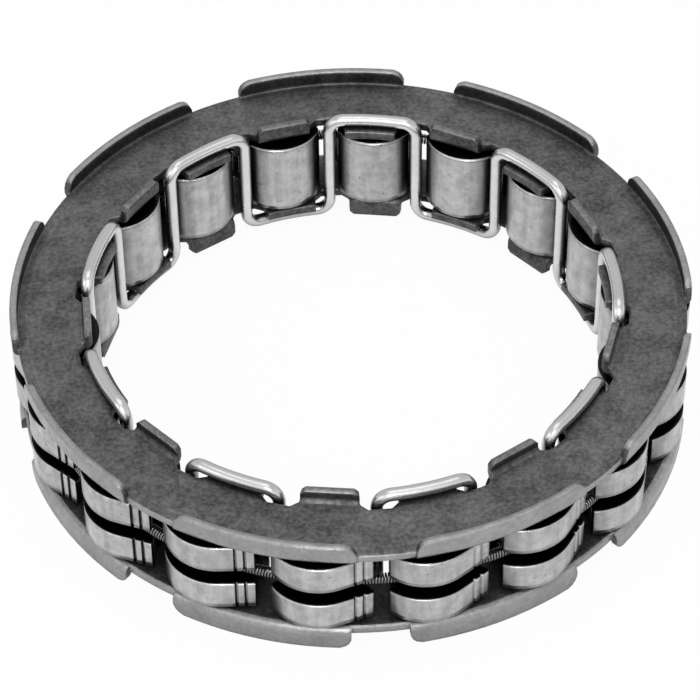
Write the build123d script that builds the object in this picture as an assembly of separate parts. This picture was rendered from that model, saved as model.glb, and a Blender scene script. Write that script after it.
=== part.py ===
"""Sprag clutch element: eighteen sprags between two flanged side rings.

A one-piece serpentine wire laces the rings together and spaces the sprags, and
a garter spring in the sprags' outer grooves presses them against the races.

The origin is the centre of the element on its middle plane, and +Z is the axis
of rotation.  Sprag 1 lies on +X and the rest follow counter-clockwise.  Lengths
are millimetres and angles are degrees.
"""
from build123d import *
import os
from math import cos, hypot, radians, sin, sqrt, tan

# ---- the races that the element runs between -------------------------------
inner_race_d = 47.767
outer_race_d = 64.427
overall_width = 13.5

# ---- sprags ----------------------------------------------------------------
sprag_count = 18
sprag_length = 8.0
sprag_proud = 0.03           # how far each cam stands past its race circle
outer_cam_r = 5.0
outer_cam_offset = 0.6       # clockwise, from the sprag's radial centre line
inner_cam_r = 4.43
inner_cam_offset = 0.1       # counter-clockwise
outer_lead_half = 4.75       # outer lobe, clockwise side
outer_trail_half = 4.65      # outer lobe, counter-clockwise side
cam_run_out = 1.6            # where the outer cam turns into the flat trail
inner_lobe_half = 3.65
waist_half = 3.1
waist_flat = 1.2             # height of the straight part of the waist
lobe_corner = 0.18           # bevel on the lobes' four corners

# ---- trail flutes and spring groove of a sprag -----------------------------
flute_width = 0.36
flute_depth = 0.2
flute_edge = 1.0            # from the trail edge to the first flute
flute_pitch = 0.85
groove_width = 1.7
groove_depth = 3.1           # below the outer race circle
groove_floor_r = 5.0
groove_floor_sides = 16      # sides of the whole circle that the floor follows

# ---- garter spring ---------------------------------------------------------
garter_coil_d = 1.1
garter_seat_gap = 0.1
garter_sides = 54            # a multiple of the number of sprags

# ---- side rings ------------------------------------------------------------
sheet = 0.85
rim_wall = 0.65
bend_outer_r = 0.85
ease_cut = 0.59              # share of a radius that the first bevel takes off
ease_recut = 0.24            # share taken off the two corners that leaves
ring_bore_gap = 0.165        # ring bore to inner race
flange_gap = 0.11            # flange to outer race
plain_edge_step = 0.5        # plain edge inside the flange's outer face
sprag_end_gap = 0.4
ring_turn = 0.5              # counter-clockwise lead of the upper ring on the sprags
flange_arc = 30.4
flange_corner_r = 1.3
fold_flat = 0.3              # flat in the fold behind a tab
tab_inset = 0.5              # ring bore to a tab's inner face
tab_drop = 0.32              # a tab's tip below the flanges' edges
tab_corner = 0.38            # bevel on a tab's two corners
tab_root = 0.3               # how far a tab's foot runs into the plate
notch_width = 3.5
notch_corner = 0.7           # bevel on a notch's two corners
notch_gap = 0.4              # wire to the notch's outer edge

# ---- serpentine wire -------------------------------------------------------
wire_width = 1.15            # along the path's side, in the cylinder's surface
wire_depth = 1.25            # radial
wire_inset = 0.5             # ring bore to the wire's inner face
wire_bar_gap = 0.1           # ring face to a bar
wire_bend_r = 0.83           # inside of a corner
wire_bend_flats = 3          # flats that follow each corner
panel_lap = 0.3              # spare length of a flat panel before it is mitred

# ---- worked out from the sizes above ---------------------------------------
inner_race_r = inner_race_d / 2
outer_race_r = outer_race_d / 2
pitch = 360 / sprag_count
pairs = sprag_count // 2

ring_bore_r = inner_race_r + ring_bore_gap
flange_r = outer_race_r - flange_gap
plain_edge_r = flange_r - plain_edge_step
bend_start_r = flange_r - bend_outer_r
ring_inner_z = sprag_length / 2 + sprag_end_gap
ring_outer_z = ring_inner_z + sheet
rim_z = overall_width / 2
tab_r = ring_bore_r + tab_inset
tab_room_r = tab_r + bend_outer_r
tab_z = rim_z - tab_drop

wire_inner_r = ring_bore_r + wire_inset
wire_outer_r = wire_inner_r + wire_depth
notch_r = wire_outer_r + notch_gap
notch_span = 2 * notch_r * sin(radians(pitch / 2))   # one notch's middle to the next
bar_inner_z = ring_outer_z + wire_bar_gap
bar_outer_z = bar_inner_z + wire_width
wire_bend = wire_bend_r + wire_width / 2
wire_knee_z = bar_inner_z - wire_bend_r
panel_reach = wire_outer_r * tan(radians(pitch / 4)) + panel_lap

groove_floor_top_r = outer_race_r - groove_depth
garter_mean_r = groove_floor_top_r + garter_seat_gap + garter_coil_d / 2


def cam_centre(contact_r, offset, cam_r):
    """Radial and counter-clockwise place of a cam's centre of curvature.

    contact_r is the farthest (cam_r > 0) or nearest (cam_r < 0) the cam comes
    to the axis of the element.
    """
    return sqrt((contact_r - cam_r) ** 2 - offset ** 2), offset


outer_cam = cam_centre(outer_race_r + sprag_proud, -outer_cam_offset, outer_cam_r)
inner_cam = cam_centre(inner_race_r - sprag_proud, inner_cam_offset, -inner_cam_r)


def on_circle(centre, radius, side, outward):
    """Point of a cam circle at a given distance from the centre line."""
    reach = sqrt(radius ** 2 - (side - centre[1]) ** 2)
    return centre[0] + outward * reach, side


# ---- sprags ----------------------------------------------------------------
def sprag_outline():
    """Closed outline of a sprag that lies on +X."""
    lead = on_circle(outer_cam, outer_cam_r, -outer_lead_half, 1)
    run_out = on_circle(outer_cam, outer_cam_r, cam_run_out, 1)
    crest = (outer_cam[0] + outer_cam_r, outer_cam[1])
    slope = (run_out[1] - outer_cam[1]) / (run_out[0] - outer_cam[0])
    trail = (run_out[0] - slope * (outer_trail_half - cam_run_out), outer_trail_half)
    inner_trail = on_circle(inner_cam, inner_cam_r, inner_lobe_half, -1)
    inner_lead = on_circle(inner_cam, inner_cam_r, -inner_lobe_half, -1)
    toe = (inner_cam[0] - inner_cam_r, inner_cam[1])
    waist_x = (lead[0] + inner_lead[0]) / 2
    waist_top, waist_foot = waist_x + waist_flat / 2, waist_x - waist_flat / 2
    return [
        ThreePointArc(lead, crest, run_out),
        Polyline(run_out, trail, (waist_top, waist_half), (waist_foot, waist_half),
                 inner_trail),
        ThreePointArc(inner_trail, toe, inner_lead),
        Polyline(inner_lead, (waist_foot, -waist_half), (waist_top, -waist_half),
                 lead),
    ], [lead, trail, inner_trail, inner_lead], (run_out, trail)


def flutes(run_out, trail):
    """Cutters of the two V-shaped flutes in the flat trail of the outer lobe."""
    length = hypot(trail[0] - run_out[0], trail[1] - run_out[1])
    along = ((run_out[0] - trail[0]) / length, (run_out[1] - trail[1]) / length)
    inward = (along[1], -along[0])

    def place(distance, depth):
        return (trail[0] + along[0] * distance + inward[0] * depth,
                trail[1] + along[1] * distance + inward[1] * depth)

    cutters = []
    for middle in (flute_edge, flute_edge + flute_pitch):
        cutters.append(make_face(Polyline(
            place(middle - flute_width, -flute_depth),
            place(middle + flute_width, -flute_depth),
            place(middle, flute_depth), close=True)))
    return cutters


def groove_cutter():
    """What the spring groove takes out: all beyond a rounded floor."""
    floor_x = groove_floor_top_r - groove_floor_r
    reach = 2 * outer_race_r
    slab = Pos(floor_x + reach / 2, 0, 0) * Box(reach, reach, groove_width)
    floor = extrude(RegularPolygon(groove_floor_r, groove_floor_sides),
                    groove_width, both=True)
    return slab - Pos(floor_x, -outer_cam_offset, 0) * floor


def make_sprag():
    """One sprag on +X, the height of its cams along X."""
    curves, corners, flat = sprag_outline()
    face = make_face(Curve() + curves)
    sharp = [face.vertices().sort_by_distance(corner)[0] for corner in corners]
    face = chamfer(sharp, lobe_corner)
    for flute in flutes(*flat):
        face -= flute
    body = extrude(face, sprag_length / 2, both=True)
    return body - groove_cutter()


# ---- side rings ------------------------------------------------------------
def ring_sector(profile, arc):
    """Solid of revolution about Z, centred on +X and arc degrees long."""
    swept = revolve(Plane.XZ * profile, Axis.Z, arc)
    return Rot(0, 0, -arc / 2) * swept


def box_profile(r0, r1, z0, z1):
    return Pos((r0 + r1) / 2, (z0 + z1) / 2) * Rectangle(r1 - r0, z1 - z0)


def eased(outline, point, radius):
    """An outline with its corner nearest a point eased by three flats."""
    corner = outline.vertices().sort_by_distance(point)[0]
    outline = chamfer(corner, ease_cut * radius)
    pair = outline.vertices().sort_by_distance(point)[:2]
    return chamfer(pair, ease_recut * radius)


def upright_profile(edge_r, plate_r, top_z):
    """Section of a rim turned up off the plate, its free face at edge_r."""
    wall_r = edge_r + (rim_wall if edge_r < plate_r else -rim_wall)
    profile = make_face(Polyline(
        (plate_r, ring_inner_z), (edge_r, ring_inner_z), (edge_r, top_z),
        (wall_r, top_z), (wall_r, ring_outer_z), (plate_r, ring_outer_z),
        close=True))
    return eased(profile, (edge_r, ring_inner_z), bend_outer_r)


def end_edges(upright):
    """The two short edges at the ends of a flange's or tab's top face."""
    return upright.faces().sort_by(Axis.Z)[-1].edges().sort_by(SortBy.LENGTH)[:2]


def flange_profile():
    """Section of a flange, from the plate to its free edge."""
    return upright_profile(flange_r, bend_start_r, rim_z)


def make_flange():
    """One of the long segments that stand up at the outer edge."""
    flange = ring_sector(flange_profile(), flange_arc)
    flange = chamfer(end_edges(flange), ease_cut * flange_corner_r)
    bevels = flange.faces().sort_by(Axis.Z)[-3:-1]
    feet = [bevel.edges().sort_by(Axis.Z)[0] for bevel in bevels]
    return chamfer(end_edges(flange) + feet, ease_recut * flange_corner_r)


def make_gap_edge():
    """The plain edge between two flanges."""
    edge = flange_profile() & box_profile(bend_start_r, plain_edge_r, ring_inner_z,
                                          ring_outer_z)
    return ring_sector(edge, 2 * pitch - flange_arc)


def make_notches():
    """Faces of the openings in the bore that the wire's legs pass through."""
    notch = Pos(notch_r / 2, 0) * Rectangle(notch_r, notch_width)
    notch = chamfer(notch.vertices().group_by(Axis.X)[-1], notch_corner)
    return [Rot(0, 0, (number + 0.5) * pitch) * notch for number in range(sprag_count)]


def make_tab():
    """One of the flat tabs that stand up at the bore, between two notches."""
    profile = upright_profile(tab_r, notch_r + tab_root, tab_z)
    fold = profile.vertices().sort_by_distance((tab_r + rim_wall, ring_outer_z))[0]
    strip = extrude(Plane.XZ * chamfer(fold, fold_flat), notch_span / 2, both=True)
    sides = [extrude(notch, rim_z) for notch in make_notches()]
    tab = strip - [sides[0], sides[-1]]
    return chamfer(end_edges(tab), tab_corner)


def make_side_ring():
    """The upper ring: its tabs stand over every second sprag."""
    blank = Circle(bend_start_r) - Circle(ring_bore_r) - make_notches()
    tab_room = Pos(tab_room_r / 2, 0) * Rectangle(tab_room_r, notch_span)
    tab, flange, gap_edge = make_tab(), make_flange(), make_gap_edge()
    pieces = []
    for turn in (2 * pitch * pair for pair in range(pairs)):
        blank -= Rot(0, 0, turn + pitch) * tab_room
        pieces.append(Rot(0, 0, turn + pitch) * tab)
        pieces.append(Rot(0, 0, turn + pitch / 2) * flange)
        pieces.append(Rot(0, 0, turn - pitch / 2) * gap_edge)
    plate = Pos(0, 0, ring_inner_z) * extrude(blank, sheet)
    return Rot(0, 0, ring_turn) * (plate + pieces)


# ---- serpentine wire -------------------------------------------------------
def corner_points(radius, side, turn):
    """Points along a corner's quarter turn, out of the leg into the bar."""
    centre_y, centre_z = side * wire_bend, wire_knee_z
    angles = [radians(90 * n / wire_bend_flats) for n in range(wire_bend_flats + 1)]
    return [(centre_y - side * radius * cos(a), centre_z + radius * sin(a))
            for a in angles][::turn]


def leg_outline(side):
    """A leg and its two corners, seen along the leg's own radius.

    The upper corner turns to side (1 is counter-clockwise), the lower one away.
    """
    run_end = side * panel_reach
    upper = corner_points(wire_bend_r + wire_width, side, 1)
    upper += [(run_end, bar_outer_z), (run_end, bar_inner_z)]
    upper += corner_points(wire_bend_r, side, -1)
    return make_face(Polyline(*upper, *[(-y, -z) for y, z in upper], close=True))


def wire_panel(outline):
    """A flat stretch of the wire on +X, mitred where the next one begins."""
    plane = Plane(origin=(wire_inner_r, 0, 0), x_dir=(0, 1, 0), z_dir=(1, 0, 0))
    reach = 2 * wire_outer_r
    half_width = reach * tan(radians(pitch / 4))
    wedge = make_face(Polyline((0, 0), (reach, -half_width), (reach, half_width),
                               close=True))
    return extrude(plane * outline, wire_depth) & extrude(
        wedge, overall_width, both=True)


def make_wire():
    """The closed wire: legs between the sprags, bars over and under them."""
    bar_z = (bar_inner_z + bar_outer_z) / 2
    bar = Rectangle(2 * panel_reach, wire_width)
    over, under = wire_panel(Pos(0, bar_z) * bar), wire_panel(Pos(0, -bar_z) * bar)
    down, up = wire_panel(leg_outline(-1)), wire_panel(leg_outline(1))
    pieces = []
    for turn in (2 * pitch * pair for pair in range(pairs)):
        pieces.append(Rot(0, 0, turn) * over)
        pieces.append(Rot(0, 0, turn + pitch / 2) * down)
        pieces.append(Rot(0, 0, turn + pitch) * under)
        pieces.append(Rot(0, 0, turn + 3 * pitch / 2) * up)
    return pieces[0] + pieces[1:]


# ---- garter spring ---------------------------------------------------------
def make_garter():
    """The closed coil's envelope: a many-sided ring of square section."""
    half = garter_coil_d / 2
    outline = (RegularPolygon(garter_mean_r + half, garter_sides)
               - RegularPolygon(garter_mean_r - half, garter_sides))
    return extrude(outline, half, both=True)


def build_parts():
    """Every node by name."""
    upper = make_side_ring()
    through_flange = Axis((0, 0, 0), (cos(radians(pitch / 2)), sin(radians(pitch / 2)), 0))
    parts = {
        "top_ring": upper,
        "bottom_ring": upper.rotate(through_flange, 180),
        "separator_wire": make_wire(),
        "garter_spring": make_garter(),
    }
    sprag = make_sprag()
    for number in range(sprag_count):
        parts[f"sprag_{number + 1:02d}"] = Rot(0, 0, pitch * number) * sprag
    return parts


def main():
    os.makedirs("parts", exist_ok=True)
    for node, shape in build_parts().items():
        export_step(shape, f"parts/{node}.step")


if __name__ == "__main__":
    main()
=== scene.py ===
"""Looks of a sprag clutch element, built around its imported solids.

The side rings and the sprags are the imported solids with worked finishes.  The
serpentine wire and the garter spring are made here and stand for their solids.
Lengths are metres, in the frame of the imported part, whose axis is +Z.
"""

import math

import bpy
from bpy.props import (FloatProperty, FloatVectorProperty, IntProperty,
                       PointerProperty)
from mathutils import Matrix, Vector


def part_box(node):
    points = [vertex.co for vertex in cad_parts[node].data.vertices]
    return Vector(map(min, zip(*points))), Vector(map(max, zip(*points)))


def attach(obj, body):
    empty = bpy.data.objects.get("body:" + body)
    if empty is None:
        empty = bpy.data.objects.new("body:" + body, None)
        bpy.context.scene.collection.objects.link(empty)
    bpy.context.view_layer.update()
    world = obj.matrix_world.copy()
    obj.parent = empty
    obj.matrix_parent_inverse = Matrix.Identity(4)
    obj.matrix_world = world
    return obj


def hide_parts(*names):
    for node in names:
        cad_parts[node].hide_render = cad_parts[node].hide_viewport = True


bl_info = {
    "name": "Sprag clutch element",
    "version": (1, 0, 0),
    "blender": (4, 5, 0),
    "location": "3D View > Sidebar > Sprag clutch",
    "description": "Finishes, wire, spring and studio for a sprag clutch element",
    "category": "Object",
}

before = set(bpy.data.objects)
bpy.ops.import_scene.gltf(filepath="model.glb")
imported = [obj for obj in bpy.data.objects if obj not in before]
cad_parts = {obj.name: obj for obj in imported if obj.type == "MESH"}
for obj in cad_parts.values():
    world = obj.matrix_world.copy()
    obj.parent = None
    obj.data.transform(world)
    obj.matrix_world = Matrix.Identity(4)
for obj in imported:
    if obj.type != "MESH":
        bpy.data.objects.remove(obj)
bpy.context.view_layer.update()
sprags = sorted(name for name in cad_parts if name.startswith("sprag_"))
wire_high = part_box("separator_wire")[1]
coil_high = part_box("garter_spring")[1]
ring_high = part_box("top_ring")[1]
floor_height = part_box("bottom_ring")[0].z
sprag_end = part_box(sprags[0])[1].z
BODY = "cage"

# Where the finishes change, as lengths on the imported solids.
RIM_WIDTH = 0.0016           # bend and flange of a side ring, from its outside
RIM_BLEND = 0.0003
EDGE_DEPTH = 0.00045         # burnished tops of the flanges and tabs, lightened further as painted sheen
EDGE_BLEND = 0.00005
DIE_LINE_RADIUS = 0.0306     # line that the forming die leaves on the plate
DIE_LINE_HALF = 0.00005
DIE_LINE_BLEND = 0.00009
GROOVE_HALF = 0.00085        # half the width of a sprag's spring groove
GROOVE_BLEND = (0.0009, 0.00084)    # heights where its dark finish and painted shade start, and are full
WAIST_RADIUS = 0.0268        # between a sprag's inner and outer cams
WAIST_BLEND = 0.0002
CROWN = 0.0005               # length over which a cam falls away at its ends
STEEPEST = 0.96              # share of the crown's quarter circle that is used

# How finely the wire and the garter spring are divided.
BAR_STEPS = 8                # half a bar
BEND_STEPS = 12
LEG_STEPS = 4
CORNER_STEPS = 5             # one rounded edge of the wire's section
STEPS_PER_TURN = 9
STRAND_SIDES = 6

# Studio.
FLOOR_REACH = 1.5
SOFT_WORLD = 0.5             # strength of the world as soft light; seen, it is 1
FLOOR_GLOW = 0.94            # share of the seen floor that is plain white
SENSOR_WIDTH = 36.0          # in mm, as lenses are
LAMPS = (                    # name, place, size and watts of each soft lamp
    ("lamp_overhead", (0.0, 0.1, 0.7), 0.5, 1.0),
    ("lamp_left", (-0.55, -0.25, 0.4), 0.3, 0.4),
    ("lamp_front", (-0.04, -0.48, 0.52), 0.1, 2.2),
)


# ---- sizes and colours ------------------------------------------------------
class SeparatorWireSizes(bpy.types.PropertyGroup):
    """Sizes of the serpentine wire."""

    depth: FloatProperty(name="Depth", description="Radial size of the wire",
                         default=0.00125, unit="LENGTH")
    width: FloatProperty(name="Width", description="Size across it, in the cylinder",
                         default=0.00115, unit="LENGTH")
    bend: FloatProperty(name="Inside bend", description="Inside radius of each corner",
                        default=0.00083, unit="LENGTH")
    rounding: FloatProperty(name="Rounding", description="Radius along its four edges",
                            default=0.00056, unit="LENGTH")


class GarterSizes(bpy.types.PropertyGroup):
    """Sizes of the garter spring's coil."""

    strand: FloatProperty(name="Strand", description="Diameter of the coiled wire",
                          default=0.00022, unit="LENGTH")
    turns_per_sprag: IntProperty(name="Turns per sprag",
                                 description="Turns of the coil in one sprag's share",
                                 default=38)


class SteelColours(bpy.types.PropertyGroup):
    """Colours of the steels."""

    ring: FloatVectorProperty(
        name="Side rings", description="Phosphated sheet steel",
        default=(0.096, 0.096, 0.098), size=3, subtype="COLOR")
    # lighter colour of the bent rims: burnished steel, and painted sheen
    burnish_and_sheen: FloatVectorProperty(
        name="Bent rims", description="Sheet steel burnished by the die",
        default=(0.31, 0.31, 0.312), size=3, subtype="COLOR")
    cam: FloatVectorProperty(
        name="Cams", description="Ground cam faces of the sprags",
        default=(0.45, 0.45, 0.452), size=3, subtype="COLOR")
    # near-black of the sprags' flanks, ends and groove: as-formed steel, deepened as
    # painted shade
    as_formed_and_shade: FloatVectorProperty(
        name="Flanks", description="As-formed faces of the sprags",
        default=(0.03, 0.03, 0.031), size=3, subtype="COLOR")
    wire: FloatVectorProperty(
        name="Wire", description="Bright drawn wire",
        default=(0.76, 0.76, 0.765), size=3, subtype="COLOR")
    spring: FloatVectorProperty(
        name="Garter spring", description="Oiled spring wire",
        default=(0.24, 0.24, 0.242), size=3, subtype="COLOR")
    floor: FloatVectorProperty(
        name="Floor", description="Studio floor",
        default=(0.9, 0.9, 0.9), size=3, subtype="COLOR")


class StudioSettings(bpy.types.PropertyGroup):
    """Camera place and lens."""

    distance: FloatProperty(name="Distance", description="Camera to the part's centre",
                            default=0.3128, unit="LENGTH")
    elevation: FloatProperty(name="Elevation", description="Camera's height angle",
                             default=math.radians(45.45), subtype="ANGLE")
    bearing: FloatProperty(name="Bearing", description="Camera's angle from +X to +Y",
                           default=math.radians(265.37), subtype="ANGLE")
    roll: FloatProperty(name="Roll", description="Camera's turn about its own axis",
                        default=math.radians(-0.738), subtype="ANGLE")
    lens: FloatProperty(name="Lens", description="Focal length in mm", default=168.4)
    shift: FloatVectorProperty(name="Shift", description="Camera shift in frame widths",
                               default=(-0.0026, -0.012), size=2)


# ---- shader building --------------------------------------------------------
class Value:
    """A number or colour that varies over a surface; plain arithmetic adds nodes."""

    def __init__(self, nodes, socket):
        self.nodes = nodes
        self.socket = socket

    def _math(self, operation, first, second=0.0):
        return self.nodes.node("ShaderNodeMath", {"operation": operation},
                               {0: first, 1: second})

    def __add__(self, other):
        return self._math("ADD", self, other)

    def __sub__(self, other):
        return self._math("SUBTRACT", self, other)

    def __rsub__(self, other):
        return self._math("SUBTRACT", other, self)

    def __mul__(self, other):
        return self._math("MULTIPLY", self, other)

    def __truediv__(self, other):
        return self._math("DIVIDE", self, other)

    def __rtruediv__(self, other):
        return self._math("DIVIDE", other, self)

    def __pow__(self, other):
        return self._math("POWER", self, other)

    def __rpow__(self, other):
        return self._math("POWER", other, self)

    def __lt__(self, other):
        return self._math("LESS_THAN", self, other)

    def __gt__(self, other):
        return self._math("GREATER_THAN", self, other)

    def __abs__(self):
        return self._math("ABSOLUTE", self)

    __radd__ = __add__
    __rmul__ = __mul__

    def least(self, other):
        return self._math("MINIMUM", self, other)

    def most(self, other):
        return self._math("MAXIMUM", self, other)


class Nodes:
    """The nodes of one material or world."""

    def __init__(self, tree):
        self.tree = tree

    def node(self, kind, settings=None, sockets=None, out=0):
        """Add a node: its settings first, then the values or links of its sockets."""
        node = self.tree.nodes.new(kind)
        for name, value in (settings or {}).items():
            setattr(node, name, value)
        for key, value in (sockets or {}).items():
            self.feed(node.inputs[key], value)
        return Value(self, node.outputs[out])

    def feed(self, socket, value):
        """Link a varying value to a socket, or write a plain one on it."""
        if isinstance(value, Value):
            self.tree.links.new(value.socket, socket)
        else:
            socket.default_value = value

    def in_view(self):
        """1 for what is seen, directly, in gloss or through glass; 0 for soft light."""
        return (self.node("ShaderNodeLightPath", out="Is Camera Ray")
                + self.node("ShaderNodeLightPath", out="Is Glossy Ray")
                + self.node("ShaderNodeLightPath", out="Is Transmission Ray"))


class Finish(Nodes):
    """A material being put together, around its one main shader."""

    def __init__(self, name):
        self.material = bpy.data.materials.new(name)
        self.material.use_nodes = True
        super().__init__(self.material.node_tree)
        self.shader = self.tree.nodes["Principled BSDF"]

    def shade(self, **sockets):
        """Set the main shader's sockets, their names with _ for each space."""
        for name, value in sockets.items():
            if name.endswith("Color"):
                value = value if isinstance(value, Value) else (*value, 1.0)
            self.feed(self.shader.inputs[name.replace("_", " ")], value)

    def part(self, vector, axis):
        """One component of a vector, 0 for X to 2 for Z."""
        return self.node("ShaderNodeSeparateXYZ", None, {0: vector}, out=axis)

    def coordinates(self, out="Object"):
        """Place or, with out="Normal", surface direction in the part's frame."""
        return self.node("ShaderNodeTexCoord", out=out)

    def around(self, where):
        """Radius from the axis, and the share of the normal that points outwards."""
        normal = self.coordinates("Normal")
        x, y = self.part(where, 0), self.part(where, 1)
        radius = (x * x + y * y) ** 0.5
        outward = (self.part(normal, 0) * x + self.part(normal, 1) * y) / radius
        return radius, outward

    def lying(self):
        """1 where the surface faces straight up or down, 0 where it stands."""
        return abs(self.part(self.coordinates("Normal"), 2))

    def ramp(self, value, low, high, start=0.0, end=1.0):
        """Smooth change from start to end as value goes from low to high."""
        return self.node("ShaderNodeMapRange", {"interpolation_type": "SMOOTHSTEP"},
                         {"Value": value, "From Min": low, "From Max": high,
                          "To Min": start, "To Max": end})

    def clamp(self, value):
        """A value kept from 0 to 1."""
        return self.node("ShaderNodeClamp", None, {"Value": value})

    def noise(self, where, scale, detail=3.0, roughness=0.55):
        """Cloudy pattern with about as many patches to a metre as the scale says."""
        return self.node("ShaderNodeTexNoise", {"noise_dimensions": "3D"},
                         {"Vector": where, "Scale": scale, "Detail": detail,
                          "Roughness": roughness})

    def mix(self, share, first, second):
        """Colour between two colours, second where share is 1."""
        return self.node("ShaderNodeMix", {"data_type": "RGBA"},
                         {0: share, 6: (*first, 1.0), 7: (*second, 1.0)}, out=2)

    def times(self, colour, amount):
        """A colour made lighter or darker by a varying amount."""
        return self.node("ShaderNodeVectorMath", {"operation": "SCALE"},
                         {0: colour, "Scale": amount})

    def eased(self, radius):
        """Surface normal with every edge rounded to a small radius."""
        return self.node("ShaderNodeBevel", {"samples": 6}, {"Radius": radius})

    def edge_band(self, eased, low, high):
        """1 along the edges, where the rounded normal leaves the flat one."""
        flat = self.node("ShaderNodeNewGeometry", out="Normal")
        same = self.node("ShaderNodeVectorMath", {"operation": "DOT_PRODUCT"},
                         {0: eased, 1: flat}, out="Value")
        return self.ramp(1 - same, low, high)

    def open_sky(self, distance):
        """1 on open surfaces, towards 0 in crevices closer than the distance."""
        return self.node("ShaderNodeAmbientOcclusion", {"samples": 8},
                         {"Distance": distance}, out="AO")

    def stretched(self, where, factors):
        """Coordinates scaled along each axis."""
        return self.node("ShaderNodeVectorMath", {"operation": "MULTIPLY"},
                         {0: where, 1: factors})

    def relief(self, height, distance, strength, normal=None):
        """Normal from a height field, over an eased normal where one is given."""
        sockets = {"Height": height, "Distance": distance, "Strength": strength}
        if normal:
            sockets["Normal"] = normal
        return self.node("ShaderNodeBump", None, sockets)


# ---- meshes -----------------------------------------------------------------
def add_loop_tube(name, rings):
    """Mesh of a closed tube from its rings of points, each joined to the next."""
    count, sides = len(rings), len(rings[0])
    points = [point for ring in rings for point in ring]
    faces = []
    for i in range(count):
        here, there = i * sides, (i + 1) % count * sides
        for j in range(sides):
            k = (j + 1) % sides
            faces.append((here + j, here + k, there + k, there + j))
    mesh = bpy.data.meshes.new(name)
    mesh.from_pydata(points, [], faces)
    mesh.validate()
    mesh.update()
    mesh.shade_smooth()
    piece = bpy.data.objects.new(name, mesh)
    bpy.context.scene.collection.objects.link(piece)
    return piece


def rounded_section(width, depth, rounding):
    """Points of a rounded rectangle, anticlockwise."""
    points = []
    for quarter, (x, y) in enumerate(((1, 1), (-1, 1), (-1, -1), (1, -1))):
        for step in range(CORNER_STEPS + 1):
            angle = math.radians(90 * (quarter + step / CORNER_STEPS))
            points.append((x * (width / 2 - rounding) + rounding * math.cos(angle),
                           y * (depth / 2 - rounding) + rounding * math.sin(angle)))
    return points


def wire_half_period(half_pitch, height, bend):
    """Flat path from the middle of an upper bar to the middle of the next lower one.

    Each entry is (along, height, turn), where turn is the path's slope angle.
    """
    leg = half_pitch / 2
    path = [((leg - bend) * step / BAR_STEPS, height, 0.0) for step in range(BAR_STEPS)]
    for step in range(BEND_STEPS):
        angle = math.pi / 2 * step / BEND_STEPS
        path.append((leg - bend + bend * math.sin(angle),
                     height - bend + bend * math.cos(angle), -angle))
    straight = height - bend
    for step in range(LEG_STEPS):
        path.append((leg, straight - 2 * straight * step / LEG_STEPS, -math.pi / 2))
    for step in range(BEND_STEPS):
        angle = math.pi / 2 * (1 - step / BEND_STEPS)
        path.append((leg + bend - bend * math.sin(angle),
                     -height + bend - bend * math.cos(angle), -angle))
    path += [(leg + bend + (leg - bend) * step / BAR_STEPS, -height, 0.0)
             for step in range(BAR_STEPS)]
    return path


def wrapped(along, z, turn, middle, side, out):
    """Bend a point of the flat path's section round the cylinder."""
    angle = (along - side * math.sin(turn)) / middle
    radius = middle + out
    return (radius * math.cos(angle), radius * math.sin(angle),
            z + side * math.cos(turn))


def coil_section(around, twist, turns, strand_radius):
    """Section of the garter spring's strand at one point of its coil."""
    coil = coil_high.z
    middle, reach = coil_high.x - coil, coil - strand_radius
    outward = Vector((math.cos(around), math.sin(around), 0))
    forward = Vector((-math.sin(around), math.cos(around), 0))
    up = Vector((0, 0, 1))
    arm = outward * math.cos(twist) + up * math.sin(twist)
    centre = outward * middle + arm * reach
    swing = up * math.cos(twist) - outward * math.sin(twist)
    way = (swing * reach + forward * (middle / turns)).normalized()
    side = way.cross(arm)
    return [tuple(centre + (arm * math.cos(a) + side * math.sin(a)) * strand_radius)
            for a in (math.tau * n / STRAND_SIDES for n in range(STRAND_SIDES))]


def assign(objects, material):
    """Give each object one material."""
    for item in objects:
        item.data.materials.clear()
        item.data.materials.append(material)


# ---- operators --------------------------------------------------------------
class SPRAG_OT_separator_wire(bpy.types.Operator):
    """Make the serpentine wire that spaces the sprags"""

    bl_idname = "sprag_clutch.separator_wire"
    bl_label = "Separator wire"

    def execute(self, context):
        sizes = context.scene.sprag_wire
        middle = wire_high.x - sizes.depth / 2
        pitch = math.tau / len(sprags) * middle
        height = wire_high.z - sizes.width / 2
        bend = sizes.bend + sizes.width / 2
        down = wire_half_period(pitch, height, bend)
        up = [(along + pitch, -z, -turn) for along, z, turn in down]
        section = rounded_section(sizes.width, sizes.depth, sizes.rounding)
        rings = []
        for period in range(len(sprags) // 2):
            for along, z, turn in down + up:
                along += 2 * pitch * period
                rings.append([wrapped(along, z, turn, middle, side, out)
                              for side, out in section])
        wire = add_loop_tube("separator_wire_formed", rings)
        assign([wire], wire_finish(context.scene.sprag_steel))
        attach(wire, BODY)
        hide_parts("separator_wire")
        return {"FINISHED"}


class SPRAG_OT_garter_spring(bpy.types.Operator):
    """Make the coiled garter spring in the sprags' grooves"""

    bl_idname = "sprag_clutch.garter_spring"
    bl_label = "Garter spring"

    def execute(self, context):
        sizes = context.scene.sprag_garter
        turns = sizes.turns_per_sprag * len(sprags)
        count = turns * STEPS_PER_TURN
        rings = [coil_section(math.tau * step / count, math.tau * step / STEPS_PER_TURN,
                              turns, sizes.strand / 2) for step in range(count)]
        spring = add_loop_tube("garter_spring_coil", rings)
        assign([spring], spring_finish(context.scene.sprag_steel))
        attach(spring, BODY)
        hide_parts("garter_spring")
        return {"FINISHED"}


class SPRAG_OT_side_rings(bpy.types.Operator):
    """Finish the two stamped side rings"""

    bl_idname = "sprag_clutch.side_rings"
    bl_label = "Side rings"

    def execute(self, context):
        rings = [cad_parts["top_ring"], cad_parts["bottom_ring"]]
        assign(rings, ring_finish(context.scene.sprag_steel))
        return {"FINISHED"}


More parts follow.
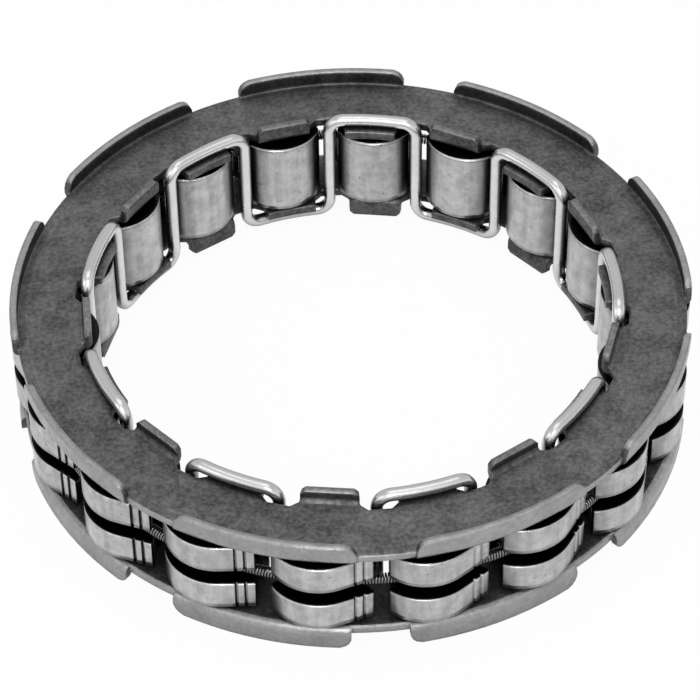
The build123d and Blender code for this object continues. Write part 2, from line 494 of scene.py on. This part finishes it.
class SPRAG_OT_sprags(bpy.types.Operator):
    """Finish the sprags"""

    bl_idname = "sprag_clutch.sprags"
    bl_label = "Sprags"

    def execute(self, context):
        assign([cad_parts[name] for name in sprags],
               sprag_finish(context.scene.sprag_steel))
        return {"FINISHED"}


class SPRAG_OT_studio(bpy.types.Operator):
    """Set the floor, lights and camera"""

    bl_idname = "sprag_clutch.studio"
    bl_label = "Studio"

    def execute(self, context):
        scene = context.scene
        scene.view_settings.view_transform = "Standard"
        add_floor(scene)
        light_world(scene)
        add_lamps(scene)
        add_camera(scene)
        return {"FINISHED"}


# ---- finishes ---------------------------------------------------------------
def ring_finish(colours):
    """Dark phosphated sheet; its bends and rims lighter, partly burnished and partly
    painted sheen; painted shade in its corners.
    """
    finish = Finish("phosphated_sheet")
    where = finish.coordinates()
    radius, outward = finish.around(where)
    rim_start = ring_high.x - RIM_WIDTH
    rim = finish.ramp(radius, rim_start, rim_start + RIM_BLEND)
    edge_start = ring_high.z - EDGE_DEPTH
    edges = finish.ramp(abs(finish.part(where, 2)), edge_start, edge_start + EDGE_BLEND)
    # burnishing and painted sheen: the outward rim faces, the flat tops of flanges and
    # tabs, and every edge are lightened
    tops = edges * finish.ramp(finish.lying(), 0.6, 0.8, 0.0, 0.35 + 0.5 * rim)
    # painted shade: the inward faces of the flanges are darkened
    inner = rim * finish.ramp(outward, -0.5, -0.7)
    wear_and_highlight = finish.edge_band(finish.eased(0.0002), 0.03, 0.12)
    burnish_and_sheen = finish.clamp(rim * finish.ramp(outward, 0.1, 0.5) + tops + 0.6 * wear_and_highlight)
    cloud = finish.ramp(finish.noise(where, 420.0, 5.0, 0.7), 0.36, 0.66)
    patch = finish.ramp(finish.noise(where, 120.0, 3.0), 0.35, 0.65)
    grain = finish.ramp(finish.noise(where, 2300.0, 4.0, 0.65), 0.34, 0.66)
    mottle = 0.16 * patch + 0.38 * cloud + 0.46 * grain - 0.5
    die_line = finish.ramp(abs(radius - DIE_LINE_RADIUS), DIE_LINE_HALF,
                           DIE_LINE_HALF + DIE_LINE_BLEND, 1.0, 0.0)
    # painted shade: the sheet darkens where other surfaces crowd it, in corners and
    # under the wire and sprags
    painted_shade = finish.ramp(finish.open_sky(0.005), 0.1, 0.9, 0.3, 1.0)
    tone = (1 + 1.3 * mottle * (1 - 0.7 * burnish_and_sheen)) * (1 - 0.35 * inner)
    tone = tone * (1 + 0.2 * die_line) * painted_shade
    base = finish.mix(burnish_and_sheen, colours.ring, colours.burnish_and_sheen)
    finish.shade(
        Base_Color=finish.times(base, tone),
        Metallic=0.85,
        Roughness=0.5 - 0.12 * cloud - 0.11 * burnish_and_sheen,
        Normal=finish.relief(grain + 0.6 * cloud, 0.00002, 0.5, finish.eased(0.0006)),
    )
    return finish.material


def sprag_finish(colours):
    """Ground cams eased towards their ends; flanks, ends and groove near-black, partly
    as formed and partly painted shade.
    """
    finish = Finish("hardened_sprag_steel")
    where = finish.coordinates()
    radius, outward = finish.around(where)
    facing = abs(outward)
    height = abs(finish.part(where, 2))
    groove = (finish.ramp(height, *GROOVE_BLEND)
              * finish.ramp(radius, WAIST_RADIUS, WAIST_RADIUS + WAIST_BLEND))
    bright = finish.ramp(facing, 0.4, 0.6) * (1 - groove)
    cloud = finish.ramp(finish.noise(where, 800.0, 5.0, 0.65), 0.34, 0.66)
    drawn = finish.stretched(where, (1, 1, 0.08))
    streak = finish.ramp(finish.noise(drawn, 1300.0, 3.0), 0.34, 0.66)
    pits = finish.ramp(finish.noise(where, 1900.0, 2.0), 0.66, 0.73)
    # painted highlight: a thin band along the cam edges is lightened by up to 60
    # percent
    wear_and_highlight = bright * finish.edge_band(finish.eased(0.00016), 0.03, 0.12)
    # painted shade: the sprag darkens where other parts crowd it, between sprags and
    # beside the wire
    painted_shade = finish.ramp(finish.open_sky(0.0045), 0.1, 0.85, 0.2, 1.0)
    tone = (0.76 + 0.28 * cloud + 0.18 * streak) * (1 - 0.4 * pits)
    # painted shade: the cams darken towards their ends, where the face turns sideways
    tone = tone * finish.ramp(facing, 0.68, 0.96, 0.6, 1.0) * painted_shade * (1 + 0.6 * wear_and_highlight)
    # flanks, ends and groove take the near-black colour, partly as painted shade
    base = finish.mix(bright, colours.as_formed_and_shade, colours.cam)
    # The inner cam has no groove: a metre is added there to put its edge out of reach.
    to_groove = height - GROOVE_HALF + (radius < WAIST_RADIUS)
    to_edge = (sprag_end - height).least(to_groove)
    past = (1 - to_edge / CROWN).most(0.0).least(STEEPEST)
    fall = CROWN * (1 - (1 - past * past) ** 0.5)
    finish.shade(
        Base_Color=finish.times(base, tone),
        Metallic=1.0,
        Roughness=0.38 - 0.05 * cloud - 0.05 * streak,
        Normal=finish.relief(0.000004 * (cloud + streak) - fall, 1.0, 1.0,
                             finish.eased(0.0003)),
    )
    return finish.material


def wire_finish(colours):
    """Bright drawn wire, darker on the sides that face up and down as a painted dark
    reflection.
    """
    finish = Finish("bright_wire")
    where = finish.coordinates()
    cloud = finish.noise(where, 900.0, 3.0)
    base = finish.mix(cloud, colours.wire, 0.85 * colours.wire)
    # painted dark reflection: faces lying flat are darkened by up to 38 percent
    painted_dark_reflection = finish.ramp(finish.lying(), 0.4, 0.95, 1.0, 0.62)
    # painted shade: the wire darkens where the rings and sprags crowd it
    painted_shade = finish.ramp(finish.open_sky(0.004), 0.1, 0.9, 0.1, 1.0)
    finish.shade(
        Base_Color=finish.times(base, painted_dark_reflection * painted_shade),
        Metallic=1.0,
        Roughness=finish.ramp(cloud, 0.3, 0.7, 0.24, 0.34),
        Normal=finish.relief(finish.noise(where, 3200.0, 2.0), 0.00002, 0.4),
    )
    return finish.material


def spring_finish(colours):
    """Fine oiled spring wire."""
    finish = Finish("spring_wire")
    cloud = finish.noise(finish.coordinates(), 1500.0, 2.0)
    base = finish.mix(cloud, colours.spring, 0.75 * colours.spring)
    # painted shade: the coil darkens inside the groove and between its turns
    painted_shade = finish.ramp(finish.open_sky(0.003), 0.0, 0.7, 0.2, 1.0)
    finish.shade(
        Base_Color=finish.times(base, painted_shade),
        Metallic=1.0,
        Roughness=finish.ramp(cloud, 0.3, 0.7, 0.28, 0.4),
    )
    return finish.material


# ---- studio -----------------------------------------------------------------
def add_floor(scene):
    """Wide pale floor under the part, nearly white where it is seen."""
    corners = [(x * FLOOR_REACH, y * FLOOR_REACH, floor_height)
               for x, y in ((-1, -1), (1, -1), (1, 1), (-1, 1))]
    mesh = bpy.data.meshes.new("floor")
    mesh.from_pydata(corners, [], [(0, 1, 2, 3)])
    floor = bpy.data.objects.new("floor", mesh)
    scene.collection.objects.link(floor)
    finish = Finish("floor")
    finish.shade(Base_Color=scene.sprag_steel.floor, Roughness=0.7)
    glow = finish.node("ShaderNodeEmission", None, {"Strength": 1.0})
    matt = Value(finish, finish.shader.outputs["BSDF"])
    mixed = finish.node("ShaderNodeMixShader", None,
                        {0: FLOOR_GLOW * finish.in_view(), 1: matt, 2: glow})
    finish.feed(finish.tree.nodes["Material Output"].inputs["Surface"], mixed)
    assign([floor], finish.material)


def light_world(scene):
    """Even light from all round, which the camera and bright metal see as white."""
    world = bpy.data.worlds.new("studio")
    scene.world = world
    world.use_nodes = True
    nodes = Nodes(world.node_tree)
    background = nodes.tree.nodes["Background"]
    nodes.feed(background.inputs["Color"], (1, 1, 1, 1))
    nodes.feed(background.inputs["Strength"],
               SOFT_WORLD + (1 - SOFT_WORLD) * nodes.in_view())


def add_lamps(scene):
    """Square lamps that all face the part."""
    for name, place, size, power in LAMPS:
        light = bpy.data.lights.new(name, "AREA")
        light.size = size
        light.energy = power
        lamp = bpy.data.objects.new(name, light)
        lamp.location = place
        lamp.rotation_euler = (-Vector(place)).to_track_quat("-Z", "Y").to_euler()
        scene.collection.objects.link(lamp)


def add_camera(scene):
    """Long lens that looks half-way between the side and the top."""
    studio = scene.sprag_studio
    camera = bpy.data.cameras.new("camera")
    camera.lens = studio.lens
    camera.sensor_width = SENSOR_WIDTH
    camera.shift_x, camera.shift_y = studio.shift
    camera.clip_start = 0.01
    camera.dof.use_dof = False
    place = Vector((math.cos(studio.bearing) * math.cos(studio.elevation),
                    math.sin(studio.bearing) * math.cos(studio.elevation),
                    math.sin(studio.elevation))) * studio.distance
    item = bpy.data.objects.new("camera", camera)
    aim = (-place).to_track_quat("-Z", "Y").to_matrix().to_4x4()
    item.matrix_world = Matrix.Translation(place) @ aim @ Matrix.Rotation(
        studio.roll, 4, "Z")
    scene.collection.objects.link(item)
    scene.camera = item


# ---- panel and registration -------------------------------------------------
class SPRAG_PT_panel(bpy.types.Panel):
    """Sidebar panel that lists the pieces"""

    bl_idname = "SPRAG_PT_panel"
    bl_label = "Sprag clutch"
    bl_space_type = "VIEW_3D"
    bl_region_type = "UI"
    bl_category = "Sprag clutch"

    def draw(self, context):
        for key, group in GROUPS.items():
            box = self.layout.box()
            for name in group.__annotations__:
                box.prop(getattr(context.scene, key), name)
        for operator in OPERATORS:
            self.layout.operator(operator.bl_idname)


GROUPS = {
    "sprag_wire": SeparatorWireSizes,
    "sprag_garter": GarterSizes,
    "sprag_steel": SteelColours,
    "sprag_studio": StudioSettings,
}
OPERATORS = (SPRAG_OT_side_rings, SPRAG_OT_sprags, SPRAG_OT_separator_wire,
             SPRAG_OT_garter_spring, SPRAG_OT_studio)


def register():
    for name, group in GROUPS.items():
        bpy.utils.register_class(group)
        setattr(bpy.types.Scene, name, PointerProperty(type=group))
    for item in (*OPERATORS, SPRAG_PT_panel):
        bpy.utils.register_class(item)


def unregister():
    for item in reversed((*OPERATORS, SPRAG_PT_panel)):
        bpy.utils.unregister_class(item)
    for name, group in reversed(GROUPS.items()):
        delattr(bpy.types.Scene, name)
        bpy.utils.unregister_class(group)


def main():
    register()
    bpy.ops.sprag_clutch.side_rings()
    bpy.ops.sprag_clutch.sprags()
    bpy.ops.sprag_clutch.separator_wire()
    bpy.ops.sprag_clutch.garter_spring()
    bpy.ops.sprag_clutch.studio()


if __name__ == "__main__":
    main()
